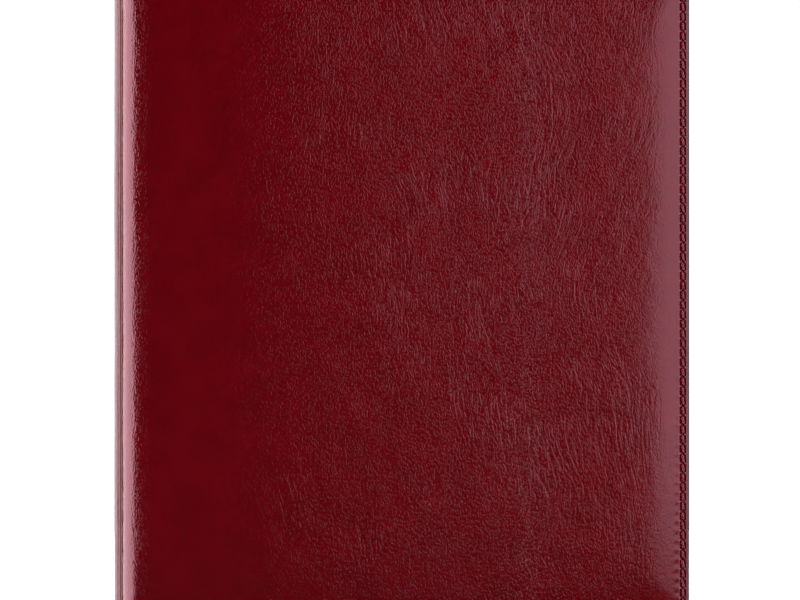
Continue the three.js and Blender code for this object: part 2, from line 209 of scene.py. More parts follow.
def build(name, points, faces, *materials, smooth=True):
    """A mesh object from points in millimetres."""
    mesh = bpy.data.meshes.new(name)
    mesh.from_pydata((np.asarray(points) * MM).tolist(), [], [tuple(map(int, face)) for face in faces])
    mesh.polygons.foreach_set("use_smooth", [smooth] * len(mesh.polygons))
    mesh.validate()
    mesh.update()
    return link(name, mesh, *materials)


def quads(rows, columns, start=0, wrap=False):
    """Faces of a grid of points stored row by row; wrap joins the last column to the first."""
    across = columns if wrap else columns - 1
    i, j = np.meshgrid(np.arange(rows - 1), np.arange(across), indexing="ij")
    a = i * columns + j
    b = i * columns + (j + 1) % columns
    return np.stack([a, b, b + columns, a + columns], axis=-1).reshape(-1, 4) + start


def rim(rows, columns):
    """Indices of a grid's outline, from its first point along three sides to the last row's first point."""
    ring = [(0, j) for j in range(columns)] + [(i, columns - 1) for i in range(1, rows)]
    ring += [(rows - 1, j) for j in range(columns - 2, -1, -1)]
    return [i * columns + j for i, j in ring]


def attach(obj, name, values):
    """Stores a vector for each point, which the materials read as their coordinates."""
    attribute = obj.data.attributes.new(name, "FLOAT_VECTOR", "POINT")
    attribute.data.foreach_set("vector", np.asarray(values, np.float32).ravel())


def facing(faces, side):
    """The same faces for the front (-1), turned round for the mirrored back (1)."""
    return faces if side < 0 else np.asarray(faces)[:, ::-1]


def placed(points, side):
    """Points (x, depth, z) of a cover in the album's frame."""
    out = np.array(points, float)
    out[..., 1] = side * (HALF_DEPTH - out[..., 1])
    return out


def smooth_step(value, low, high):
    t = np.clip((np.asarray(value, float) - low) / (high - low), 0, 1)
    return t * t * (3 - 2 * t)


def smooth_min(a, b, reach):
    h = np.clip(0.5 + 0.5 * (b - a) / reach, 0, 1)
    return b + (a - b) * h - reach * h * (1 - h)


NOISE_CELLS = 128  # the noise repeats after this many cells


def lattice_noise(u, v, seed):
    """Smooth noise from -1 to 1, one cell for each unit of u and v."""
    table = np.random.default_rng(seed).uniform(-1, 1, (NOISE_CELLS, NOISE_CELLS))
    iu, iv = np.floor(u).astype(int), np.floor(v).astype(int)
    fu, fv = smooth_step(u - iu, 0, 1), smooth_step(v - iv, 0, 1)

    def corner(a, b):
        return table[(iu + a) % NOISE_CELLS, (iv + b) % NOISE_CELLS]

    low = corner(0, 0) * (1 - fu) + corner(1, 0) * fu
    high = corner(0, 1) * (1 - fu) + corner(1, 1) * fu
    return low * (1 - fv) + high * fv


def creases(u, v, seed):
    """Ridged noise: thin valleys, from 0 on the flat to 1 in a crease."""
    bend = 0.8 * lattice_noise(0.4 * u, 0.4 * v, seed + 1)
    return (1 - np.abs(lattice_noise(u + bend, v + bend, seed))) ** 4


def round_steps(radius, count):
    """Distances from an edge of this radius, at even angles round it."""
    return radius * (1 - np.cos(np.linspace(0, math.pi / 2, count)))


def round_drop(to_edge, radius):
    """How far an edge of this radius has dropped at a distance from it."""
    return radius - np.sqrt(np.maximum(radius ** 2 - np.maximum(radius - to_edge, 0) ** 2, 0))


def spaced(low, high, step):
    return np.linspace(low, high, max(2, round((high - low) / step) + 1))


# Cover leather: a height field over the cover's plan, with its edges turned down and in

def edge_distances(x, z):
    """How far a point of a cover's plan is from the fore-edge, and from the head or the tail."""
    return LEATHER_EDGE - x, np.minimum(z, HEIGHT - z)


def edge_steps():
    """Distances from a cover's edge: fine over the bead, the seam and the padding's side."""
    return np.concatenate([round_steps(BEAD, 5), np.arange(BEAD + 0.22, 9.0, 0.26)])


def crease_dip(from_crease, width, power):
    """How far the pressed crease lies below the outline, at a distance from its bottom."""
    return CREASE["depth"] * np.exp(-((from_crease / width) ** power))


def cover_columns():
    """Columns from the crease to the fore-edge, as (x, depth on the plain section, slope angle)."""
    angle = np.linspace(math.acos(1 - CREASE_DEPTH / HINGE_RADIUS), 0, 46)
    depth = HINGE_RADIUS * (1 - np.cos(angle))
    x = HINGE_CENTRE - HINGE_RADIUS * np.sin(angle)
    x += crease_dip(CREASE_DEPTH - depth, CREASE["cover_width"], 2)
    edge = LEATHER_EDGE - edge_steps()[::-1]
    flat = np.concatenate([spaced(HINGE_CENTRE, edge[0], 1.2)[1:-1], edge])
    arc = np.stack([x, depth, angle], axis=-1)
    return np.concatenate([arc, np.stack([flat, 0 * flat, 0 * flat], axis=-1)])


def cover_rows():
    edge = edge_steps()
    field = spaced(edge[-1], HEIGHT - edge[-1], 1.2)
    return np.concatenate([edge[:-1], field, HEIGHT - edge[:-1][::-1]])


def outer_depth(x, z):
    """Depth of the leather's outer face over a cover's plan, without the hinge's round and the seam."""
    to_side, to_end = edge_distances(x, z)
    d_soft = smooth_min(to_side, to_end, CORNER_BLEND)
    steep = np.clip((d_soft - BORDER) / ROLL, 0, 1)
    side = 1 - np.sqrt(1 - (1 - steep) ** 2)
    gentle = SHOULDER["drop"] * np.exp(-np.maximum(d_soft - BORDER, 0) / SHOULDER["reach"])
    crown = CROWN * (np.maximum(x - HIGHEST_X, 0) / LEATHER_EDGE) ** 2
    return gentle + crown + (BORDER_DEPTH - SHOULDER["drop"] - CROWN) * side


def border_depth(to_edge):
    """How much deeper the leather lies in the seam's groove and over the rounded edge."""
    groove = SEAM["depth"] * np.exp(-((to_edge - SEAM["line"]) / SEAM["half"]) ** 6)
    return groove + round_drop(to_edge, BEAD)


def wrinkle_share(x, to_edge):
    """How strongly the leather is wrinkled: most in the middle and on the hinge, least between them."""
    place, share = zip(*WRINKLES)
    return np.interp(x, place, share) * smooth_step(to_edge, *WRINKLE_START) + LEAST_WRINKLES


def leather_relief(across, z, share, seed):
    """Height of the leather's own unevenness, in millimetres along its normal."""
    swell = sum(height * lattice_noise(across / width, z / length, seed + extra)
                for height, width, length, extra in SWELLS)
    crease = sum(depth * creases(across / width, z / length, seed + extra)
                 for depth, width, length, extra in CREASES)
    return swell - share * crease


def seam_coordinates(x, z, from_crease):
    """(distance across the stitch line, place along it in stitches, 1 in the crease and 0 away from it)."""
    to_side, to_end = edge_distances(x, z)
    beside = to_side < to_end
    across = np.where(beside, to_side, to_end) - SEAM["line"]
    along = np.where(beside, z - MIDDLE, x) / STITCH_PITCH
    return np.stack([across, along, np.exp(-from_crease ** 2)], axis=-1)


def cover_surface(seed):
    """A cover's outer face as a grid of points, with the values that its material reads."""
    columns = cover_columns()
    x, z = np.meshgrid(columns[:, 0], cover_rows())
    section, angle = (np.broadcast_to(columns[:, k], x.shape) for k in (1, 2))
    to_side, to_end = edge_distances(x, z)
    to_edge = np.minimum(to_side, to_end)
    depth = (section ** 4 + (outer_depth(x, z) + border_depth(to_edge)) ** 4) ** 0.25
    along = np.concatenate([[0], np.cumsum(np.hypot(np.diff(columns[:, 0]), np.diff(columns[:, 1])))])
    across = np.broadcast_to(along, x.shape)
    share = wrinkle_share(x, to_edge)
    height = leather_relief(across, z, share, seed) * smooth_step(to_edge, *RELIEF_START)
    seam = seam_coordinates(x, z, CREASE_DEPTH - section)
    seam[..., 2] *= x < HINGE_CENTRE
    pucker = PUCKER["height"] * np.cos(2 * math.pi * seam[..., 1])
    height += pucker * np.exp(-(to_edge - BORDER - PUCKER["inside"]) ** 2)
    x_out = x - height * np.sin(angle)
    depth = depth - height * np.cos(angle)
    x_out, z_out = rounded_corners(x_out, z, to_side, to_end)
    return np.stack([x_out, depth, z_out], axis=-1), np.stack([across, z, share], axis=-1), seam


def cover_leather(side_name, leather):
    side = SIDES[side_name]
    top, skin, seam = cover_surface(SEEDS[side_name])
    rows, columns = top.shape[:2]
    index = np.array(rim(rows, columns))
    points, faces = turned_edge(top.reshape(-1, 3), quads(rows, columns), index)
    obj = build(f"{side_name}_leather_skin", placed(points, side), facing(faces, side), leather)
    rings = len(EDGE_TURN)
    for name, values in (("skin", skin), ("seam", seam)):
        flat = values.reshape(-1, 3)
        attach(obj, name, np.concatenate([flat] + [flat[index]] * rings))
    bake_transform(obj)
    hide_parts(f"{side_name}_leather")


def rounded_corners(x, z, to_side, to_end):
    """Moves the points of each fore-edge corner's square onto a quarter disc."""
    u = np.clip(CORNER - to_side, 0, None)
    v = np.clip(CORNER - to_end, 0, None)
    scale = np.where((u > 0) & (v > 0), np.maximum(u, v) / np.maximum(np.hypot(u, v), 1e-9), 1)
    sign = np.where(z < MIDDLE, 1, -1)
    return x - u * (1 - scale), z + sign * v * (1 - scale)


def cover_inner_depth(x):
    """Depth at which the leather turns in: behind the board, or towards the crease beside it."""
    return np.interp(x, [CREASE_X, BOARD_LOW[0]], [CREASE_DEPTH, BOARD_UNDERSIDE + 0.5 * GAP])


def turned_edge(points, faces, loop):
    """Adds the wall below the bead and the turn-in behind it, along the outline named by loop."""
    edge = points[loop]
    inner = np.maximum(cover_inner_depth(edge[:, 0]), edge[:, 1] + LEAST_WALL)
    inward = np.zeros((len(loop), 2))
    corner_x = LEATHER_EDGE - CORNER
    near = np.clip(edge[:, 2], CORNER, HEIGHT - CORNER)
    inward[:, 0] = np.minimum(corner_x - edge[:, 0], 0)
    inward[:, 1] = near - edge[:, 2]
    inward /= np.maximum(np.linalg.norm(inward, axis=1, keepdims=True), 1e-9)
    rings = [points]
    all_faces = [faces]
    previous = loop
    for inset, lift in EDGE_TURN:
        ring = edge.copy()
        ring[:, 0] += inset * inward[:, 0]
        ring[:, 2] += inset * inward[:, 1]
        ring[:, 1] = np.maximum(inner - lift, edge[:, 1])
        start = sum(len(r) for r in rings)
        rings.append(ring)
        current = start + np.arange(len(loop))
        all_faces.append(np.stack([previous[:-1], current[:-1], current[1:], previous[1:]], axis=-1))
        previous = current
    return np.concatenate(rings), np.concatenate(all_faces)


# Spine leather: the shallow arc between the two creases, turned in at head and tail

def spine_outline(y):
    """x of the spine's outside, without its creases."""
    bulge = CREASE_X - ALBUM_LOW[0]
    radius = (HALF_SPINE ** 2 + bulge ** 2) / (2 * bulge)
    return ALBUM_LOW[0] + radius - np.sqrt(radius ** 2 - y ** 2)


def spine_leather(leather):
    t = np.linspace(-1, 1, 81)
    y = np.sign(t) * CREASE_Y * (1 - (1 - np.abs(t)) ** 1.6)
    corner = np.linspace(0, math.pi / 2, 5)
    tail = [(TURN_IN, 1.0), (0.3, 1.0), (0.0, 0.92)]
    tail += [(SPINE_ROUND * (1 - math.cos(a)), 0.2 * (1 - math.sin(a))) for a in corner]
    field = [(z, 0.0) for z in spaced(SPINE_ROUND, HEIGHT - SPINE_ROUND, 1.5)[1:-1]]
    steps = np.array(tail + field + [(HEIGHT - z, share) for z, share in tail[::-1]])
    yy, z = np.meshgrid(y, steps[:, 0])
    share = np.broadcast_to(steps[:, 1:2], yy.shape)
    outside = spine_outline(yy) + crease_dip(CREASE_Y - np.abs(yy), CREASE["spine_width"], 4)
    relief = leather_relief(yy, z, SPINE_WRINKLES["mesh"], SEEDS["spine"])
    outside -= relief * smooth_step(CREASE_Y - np.abs(yy), 0.5, 3)
    x = outside + share * (SPINE_HIGH[0] - outside)
    points = np.stack([x, yy, z], axis=-1).reshape(-1, 3)
    obj = build("spine_leather_skin", points, quads(*yy.shape)[:, ::-1], leather)
    wrinkled = np.full_like(z, SPINE_WRINKLES["material"])
    attach(obj, "skin", np.stack([yy + SPINE_GRAIN, z, wrinkled], axis=-1))
    attach(obj, "seam", seam_coordinates(np.full_like(yy, ALBUM_LOW[0]), MIDDLE, CREASE_Y - np.abs(yy)))
    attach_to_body(obj, "spine")
    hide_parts("spine_leather")


# Stitching

def tube(path, radii, sides, plane_normal, twist=0.0):
    """Points and faces of a round tube along a flat path; the ends are closed by small caps."""
    tangent = np.gradient(path, axis=0)
    tangent /= np.linalg.norm(tangent, axis=1, keepdims=True)
    across = np.cross(tangent, plane_normal)
    across /= np.linalg.norm(across, axis=1, keepdims=True)
    up = np.cross(across, tangent)
    turn = np.linspace(0, 2 * math.pi, sides, endpoint=False)
    ply = 1 + twist * np.cos(2 * (turn[None] - np.linspace(0, PLY_TURN, len(path))[:, None]))
    ring = np.cos(turn)[None, :, None] * across[:, None] + np.sin(turn)[None, :, None] * up[:, None]
    points = path[:, None] + np.asarray(radii)[:, None, None] * ply[..., None] * ring
    faces = quads(len(path), sides, wrap=True).tolist()
    last = (len(path) - 1) * sides
    faces += [list(range(sides))[::-1], [last + k for k in range(sides)]]
    return points.reshape(-1, 3), faces


def merged(parts):
    """One list of points and one of faces from several (points, faces)."""
    points, faces, start = [], [], 0
    for part_points, part_faces in parts:
        points.append(part_points)
        faces += [[start + k for k in face] for face in part_faces]
        start += len(part_points)
    return np.concatenate(points), faces


def stitch_centres():
    """(place, direction) in the cover's plan, of each stitch along the tail, the fore-edge and the head."""
    line_x = LEATHER_EDGE - SEAM["line"]
    low, high = SEAM["line"], HEIGHT - SEAM["line"]
    first = math.ceil(SEAM_START / STITCH_PITCH)
    across = [(k + 0.5) * STITCH_PITCH for k in range(first, int(line_x / STITCH_PITCH))]
    half_count = int((MIDDLE - SEAM["line"]) / STITCH_PITCH)
    upright = [MIDDLE + (k + 0.5) * STITCH_PITCH for k in range(-half_count, half_count)]
    run = [((x, low), (1, 0)) for x in across] + [((line_x, z), (0, 1)) for z in upright]
    return run + [((x, high), (-1, 0)) for x in across]


def stitching(name, side_name, surface, outward, thread):
    """Every stitch of one face of a cover, as its own piece of twisted thread that dives at both ends."""
    random = np.random.default_rng(5)
    t = np.linspace(-1, 1, 17)
    radii = THREAD_RADIUS * np.clip(1.15 - np.abs(t) ** 6, 0.35, 1)
    parts = []
    for place, direction in stitch_centres():
        slant = STITCH_SLANT["middle"] + STITCH_SLANT["spread"] * random.uniform(-1, 1)
        along = np.outer(t * STITCH_LENGTH / 2, direction)
        across = np.outer(t * slant, (-direction[1], direction[0]))
        plan = np.array(place) + along + across
        rise = STITCH_RISE["middle"] * (1 - t ** 4) - STITCH_DIVE * t ** 8
        rise += STITCH_RISE["spread"] * random.uniform(-1, 1)
        path = np.stack([plan[:, 0], surface + outward * rise, plan[:, 1]], axis=-1)
        parts.append(tube(path, radii, 8, np.array([0.0, 1.0, 0.0]), twist=0.3))
    points, faces = merged(parts)
    side = SIDES[side_name]
    faces = faces if side > 0 else [face[::-1] for face in faces]
    obj = build(name, placed(points, side), faces, thread)
    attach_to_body(obj, f"{side_name}_cover")
    return obj


def all_stitching(thread):
    for side_name in SIDES:
        outside = BORDER_DEPTH + SEAM["depth"]
        inside = COVER_DEPTH - LINING_GROOVE
        rows = (("stitching", outside, -1), ("inner_stitching", inside, 1))
        for kind, surface, outward in rows:
            obj = stitching(f"{side_name}_{kind}_thread", side_name, surface, outward, thread)
            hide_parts(f"{side_name}_{kind}")


# Closed slabs: foam, linings, hinge strips and pockets

def slab(name, top, bottom, *materials):
    """A closed mesh between two grids of points, [row, column, xyz], in millimetres."""
    rows, columns = top.shape[:2]
    count = rows * columns
    index = np.array(rim(rows, columns) + [i * columns for i in range(rows - 2, 0, -1)])
    after = np.roll(index, -1)
    walls = np.stack([index, index + count, after + count, after], axis=-1)
    faces = np.concatenate([quads(rows, columns), quads(rows, columns, start=count)[:, ::-1], walls])
    obj = build(name, np.concatenate([top.reshape(-1, 3), bottom.reshape(-1, 3)]), faces, *materials)
    make_outward(obj)
    return obj


def make_outward(obj):
    mesh = bmesh.new()
    mesh.from_mesh(obj.data)
    bmesh.ops.recalc_face_normals(mesh, faces=mesh.faces)
    mesh.to_mesh(obj.data)
    mesh.free()
    obj.data.set_sharp_from_angle(angle=math.radians(50))


def cover_foam(side_name, foam):
    """Foam pad under a cover's leather, bent round the hinge."""
    side = SIDES[side_name]
    low, high = box_mm("front_padding")
    crown = HALF_DEPTH + low[1]
    under = HALF_DEPTH + BOARD_LOW[1] - GAP
    reach = math.asin((HINGE_CENTRE - low[0]) / (HINGE_RADIUS - crown))
    bent, level = 22, 100  # columns round the hinge and past it
    angle = np.concatenate([np.linspace(reach, 0, bent), np.zeros(level)])
    beyond = np.concatenate([np.zeros(bent - 1), np.linspace(0, high[0] - HINGE_CENTRE, level + 1)])
    edge = round_steps(FOAM_ROUND, 6)
    rows = np.concatenate([low[2] + edge, spaced(low[2] + 3, high[2] - 3, 2.5), (high[2] - edge)[::-1]])
    turn, z = np.meshgrid(angle, rows)
    flat, _ = np.meshgrid(beyond, rows)
    x_flat = HINGE_CENTRE + flat
    to_edge = np.minimum(np.minimum(z - low[2], high[2] - z), high[0] - x_flat)
    round_off = np.sqrt(np.maximum(1 - (1 - np.clip(to_edge / FOAM_ROUND, 0, 1)) ** 2, 0))
    pores = 0.06 * lattice_noise(flat / 2 + turn * 4, z / 2, 77)
    top = np.maximum(under - (under - crown) * round_off + pores, outer_depth(x_flat, z) + LEATHER)
    top = np.minimum(top, under - 0.1)
    bottom = np.full_like(top, under)

    def section(depth):
        radius = HINGE_RADIUS - depth
        x = np.where(turn > 0, HINGE_CENTRE - radius * np.sin(turn), x_flat)
        return np.stack([x, side * (HALF_DEPTH - HINGE_RADIUS + radius * np.cos(turn)), z], axis=-1)

    obj = slab(f"{side_name}_foam", section(top), section(bottom), foam)
    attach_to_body(obj, f"{side_name}_cover")
    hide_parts(f"{side_name}_padding")


def spine_foam(foam):
    low, high = box_mm("spine_padding")
    y, z = np.meshgrid(np.linspace(low[1], high[1], 25), spaced(low[2], high[2], 2.5))
    to_edge = np.minimum(high[1] - np.abs(y), np.minimum(z - low[2], high[2] - z))
    round_off = np.sqrt(1 - (1 - np.clip(to_edge / SPINE_ROUND, 0, 1)) ** 2)
    full = spine_outline(y) + LEATHER
    x = high[0] - 0.1 + (full - high[0] + 0.1) * round_off
    x += 0.05 * lattice_noise(y / 2, z / 2, 78) * round_off
    bottom = np.stack([np.full_like(y, high[0]), y, z], axis=-1)
    obj = slab("spine_foam", np.stack([x, y, z], axis=-1), bottom, foam)
    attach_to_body(obj, "spine")
    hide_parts("spine_padding")


def cover_lining(side_name, lining):
    """Lining glued inside a cover: its face shows the seam's groove and the edge of the turned-in leather."""
    side = SIDES[side_name]
    edge = np.concatenate([round_steps(LINING_ROUND, 4), np.arange(0.6, 12, 0.35)])
    x = np.concatenate([LINING_LOW[0] + edge[:5], spaced(LINING_LOW[0] + 3, LINING_HIGH[0] - 13, 2.5),
                        LINING_HIGH[0] - edge[::-1]])
    z = np.concatenate([edge, spaced(13, HEIGHT - 13, 2.5), HEIGHT - edge[::-1]])
    x, z = np.meshgrid(x, z)
    to_side, to_end = LINING_HIGH[0] - x, np.minimum(z, HEIGHT - z)
    to_edge = np.minimum(to_side, to_end)
    overhang = LINING_HIGH[0] - LEATHER_EDGE
    line = np.minimum(to_side - overhang, to_end) - SEAM["line"]
    groove = LINING_GROOVE * np.exp(-(line / 0.6) ** 2) * smooth_step(x, SEAM_START - 1, SEAM_START)
    ledge = LINING_LEDGE * (1 - smooth_step(line, TURN_IN, TURN_IN + 0.8))
    slack = 0.04 * lattice_noise(x / 19, z / 23, 33 + side)
    bead = round_drop(np.minimum(to_edge, x - LINING_LOW[0]), LINING_ROUND)
    depth = COVER_DEPTH - LINING_LEDGE + ledge - groove + slack - bead
    x, z = rounded_corners(x, z, to_side, to_end)
    face = np.stack([x, depth, z], axis=-1)
    glued = np.stack([x, np.full_like(x, LINING_TOP), z], axis=-1)
    obj = slab(f"{side_name}_lining_sheet", placed(face, side), placed(glued, side), lining)
    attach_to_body(obj, f"{side_name}_cover")
    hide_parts(f"{side_name}_lining")


def spine_lining(lining):
    low, high = SPINE_LINING_LOW, SPINE_LINING_HIGH
    y, z = np.meshgrid(spaced(low[1], high[1], 0.8), spaced(low[2], high[2], 2.5))
    to_edge = np.minimum(high[1] - np.abs(y), np.minimum(z, HEIGHT - z))
    face = high[0] - 0.04 - round_drop(to_edge, LINING_ROUND)
    face += 0.03 * lattice_noise(y / 9, z / 17, 35)
    top = np.stack([face, y, z], axis=-1)
    obj = slab("spine_lining_sheet", top, np.stack([np.full_like(y, low[0]), y, z], axis=-1), lining)
    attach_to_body(obj, "spine")
    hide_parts("spine_lining")


def hinge_strip(side_name, lining):
    """Strip of lining cloth from the cover's lining to the spine's, curved round beside the spine."""
    side = SIDES[side_name]
    low, high = box_mm("front_hinge_strip")
    cloth = LINING_LOW[1] - low[1]
    corner = np.array([[high[0], -low[1] - cloth / 2], [low[0] + LINING_BEND, HALF_SPINE + cloth],
                       [SPINE_INSIDE, HALF_SPINE + cloth / 2]])
    t = np.linspace(0, 1, 17)[:, None]
    line = (1 - t) ** 2 * corner[0] + 2 * t * (1 - t) * corner[1] + t ** 2 * corner[2]
    tangent = np.gradient(line, axis=0)
    normal = np.stack([tangent[:, 1], -tangent[:, 0]], axis=-1)
    normal /= np.linalg.norm(normal, axis=1, keepdims=True)
    rows = spaced(low[2], high[2], 4.0)
    ripple = 0.05 * lattice_noise(t[:, 0][None] * 3, rows[:, None] / 6, 41 + side)[..., None]

    def face(offset):
        flat = line + normal * (offset + ripple)
        z = np.broadcast_to(rows[:, None, None], flat.shape[:2] + (1,))
        return np.concatenate([flat[..., :1], side * flat[..., 1:], z], axis=-1)

    obj = slab(f"{side_name}_hinge_cloth", face(cloth / 2), face(-cloth / 2), lining)
    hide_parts(f"{side_name}_hinge_strip")
    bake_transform(obj)


# Leaves

def outline_plate(name, outlines, low_y, thickness, bevel, material):
    """A plate in the X-Z plane from closed outlines in millimetres, the first one round the others."""
    curve = bpy.data.curves.new(name, "CURVE")
    curve.dimensions = "2D"
    curve.fill_mode = "BOTH"
    curve.extrude = (thickness / 2 - bevel) * MM
    curve.bevel_depth = bevel * MM
    curve.bevel_resolution = 1
    curve.offset = -bevel * MM
    for outline in outlines:
        spline = curve.splines.new("POLY")
        spline.points.add(len(outline) - 1)
        for point, (x, z) in zip(spline.points, outline):
            point.co = (x * MM, z * MM, 0, 1)
        spline.use_cyclic_u = True
    source = bpy.data.objects.new(name, curve)
    mesh = bpy.data.meshes.new_from_object(source)
    bpy.data.objects.remove(source)
    for vertex in mesh.vertices:
        x, z, y = vertex.co
        vertex.co = (x, (low_y + thickness / 2) * MM + y, z)
    mesh.flip_normals()
    obj = link(name, mesh, material)
    weld(obj)
    return obj


def weld(obj):
    mesh = bmesh.new()
    mesh.from_mesh(obj.data)
    bmesh.ops.remove_doubles(mesh, verts=mesh.verts, dist=1e-6)
    mesh.to_mesh(obj.data)
    mesh.free()
    obj.data.polygons.foreach_set("use_smooth", [True] * len(obj.data.polygons))
    obj.data.set_sharp_from_angle(angle=math.radians(35))


def arc_points(x, z, radius, first, last, steps=6):
    return [(x + radius * math.cos(math.radians(a)), z + radius * math.sin(math.radians(a)))
            for a in np.linspace(first, last, steps + 1)]


def rounded_outline(low, high, radius):
    (x0, z0), (x1, z1) = low, high
    return [*arc_points(x0 + radius, z0 + radius, radius, 180, 270),
            *arc_points(x1 - radius, z0 + radius, radius, 270, 360),
            *arc_points(x1 - radius, z1 - radius, radius, 0, 90),
            *arc_points(x0 + radius, z1 - radius, radius, 90, 180)]


def punched_slots(left):
    """Outlines of the four slots that the rings go through, for a sheet whose binding edge is at left."""
    x0 = left + PUNCH["margin"] + PUNCH["shift"] - PUNCH["length"] / 2
    slots = []
    for number in RINGS:
        low, high = box_mm(f"front_ring_half_{number}")
        z = (low[2] + high[2]) / 2
        half = PUNCH["width"] / 2
        slots.append(rounded_outline((x0, z - half), (x0 + PUNCH["length"], z + half), half)[::-1])
    return slots


def page_welds(corner, cell, sheet_y):
    """Frosted ribs where the pockets' film is welded to the sheet: between the pockets and round them."""
    ribs = []
    size = cell * POCKETS
    for axis in (0, 1):
        for place in np.arange(POCKETS[axis] + 1) * cell[axis]:
            along = spaced(0, size[1 - axis], 3.0)
            across = np.linspace(-POCKET_WELD, POCKET_WELD, 7)
            u, v = np.meshgrid(across, along)
            rise = RIB * (1 - (u / POCKET_WELD) ** 4) * (1 - 0.3 * np.cos(math.pi * u / POCKET_WELD * 3))
            plan = (place + u, v) if axis == 0 else (v, place + u)
            points = np.stack([corner[0] + plan[0], sheet_y - 0.05 - rise, corner[1] + plan[1]], axis=-1)
            ribs.append((points.reshape(-1, 3), quads(*u.shape).tolist()))
    return ribs


def coin_page(number, film, frosted):
    """Clear page: a punched sheet with four columns and five rows of coin pockets welded onto it."""
    low, high = box_mm(f"coin_page_{number}")
    left = low[0] + BINDING
    cell = np.array([(high[0] - WELD - left) / POCKETS[0], (high[2] - low[2] - 2 * WELD) / POCKETS[1]])
    sheet = [rounded_outline(low[[0, 2]], high[[0, 2]], PAGE_CORNER), *punched_slots(low[0])]
    obj = outline_plate(f"coin_page_{number}_film", sheet, high[1] - FILM, FILM, FILM_EDGE, film)
    pockets = []
    for i in range(POCKETS[0]):
        for j in range(POCKETS[1]):
            corner = np.array([left + i * cell[0], low[2] + WELD + j * cell[1]])
            pockets.append(pocket(corner, cell, low[1], high[1] - FILM))
    points, faces = merged(pockets)
    front = build(f"coin_page_{number}_pockets", points, faces, film)
    points, faces = merged(page_welds(np.array([left, low[2] + WELD]), cell, high[1] - FILM))
    welds = build(f"coin_page_{number}_welds", points, faces, frosted)
    for part in (obj, front, welds):
        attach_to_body(part, f"leaf_{number}")
    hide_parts(f"coin_page_{number}")


def pocket(corner, cell, front_y, sheet_y):
    """Front film of one pocket: flat welds round a soft bulge, with a thumb notch in its open upper edge."""
    u, v = np.meshgrid(np.linspace(0, 1, 15), np.linspace(0, 1, 17))
    side = np.minimum(u, 1 - u) * cell[0] - POCKET_WELD
    foot = v * cell[1] - POCKET_WELD
    lift = smooth_step(side, 0, 6) * smooth_step(foot, 0, 6)
    notch = NOTCH["depth"] * np.exp(-((u - 0.5) * cell[0] / NOTCH["half"]) ** 4)
    height = (cell[1] - POCKET_WELD - notch) * v
    flat_y = sheet_y - POCKET_FILM
    y = flat_y - (flat_y - front_y) * lift
    points = np.stack([corner[0] + u * cell[0], y, corner[1] + height], axis=-1)
    return points.reshape(-1, 3), quads(*u.shape).tolist()


# Ring binder mechanism

def ring_half(side_name, number, nickel):
    """Half a ring: a leg up from its plate, and an arc round to a tip that meets the other half's."""
    side = SIDES[side_name]
    low, high = box_mm(f"front_ring_half_{number}")
    wire = (high[2] - low[2]) / 2
    radius = -low[1] - wire
    centre = np.array([high[0] - wire - radius, 0.0, (low[2] + high[2]) / 2])
    start_angle = math.pi - math.asin(RING_LEG / radius)
    tip = math.asin(-high[1] / radius)
    arc = np.linspace(start_angle, tip, 44)
    path = np.stack([radius * np.cos(arc), side * radius * np.sin(arc), 0 * arc], axis=-1) + centre
    foot = [[low[0], side * RING_LEG, centre[2]]]
    path = np.concatenate([foot, path])
    obj = build(f"{side_name}_ring_wire_{number}", *tube(path, np.full(len(path), wire), 20,
                                                        np.array([0.0, 0.0, 1.0])), nickel)
    make_outward(obj)
    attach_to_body(obj, f"{side_name}_rings")
    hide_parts(f"{side_name}_ring_half_{number}")


def lathe(name, profile, centre, material):
    """A turned piece about an axis along X through centre, from (x, radius) pairs."""
    turn = np.linspace(0, 2 * math.pi, 48, endpoint=False)
    points = [[x, centre[1] + r * math.cos(a), centre[2] + r * math.sin(a)] for x, r in profile for a in turn]
    obj = build(name, points, quads(len(profile), len(turn), wrap=True), material)
    weld(obj)
    make_outward(obj)
    return obj


def rivet(end, nickel):
    low, high = box_mm(f"{end}_rivet")
    centre = (low + high) / 2
    head = (high[1] - low[1]) / 2
    dome = [(high[0] - RIVET["head"] + RIVET["head"] * math.sin(a), head * math.cos(a))
            for a in np.linspace(0, math.pi / 2, 9)]
    shank = [(low[0], 0.0), (low[0], RIVET["shank"]), (high[0] - RIVET["head"], RIVET["shank"])]
    obj = lathe(f"{end}_rivet_turned", shank + dome, centre, nickel)
    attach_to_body(obj, "spine")
    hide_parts(f"{end}_rivet")


# Materials

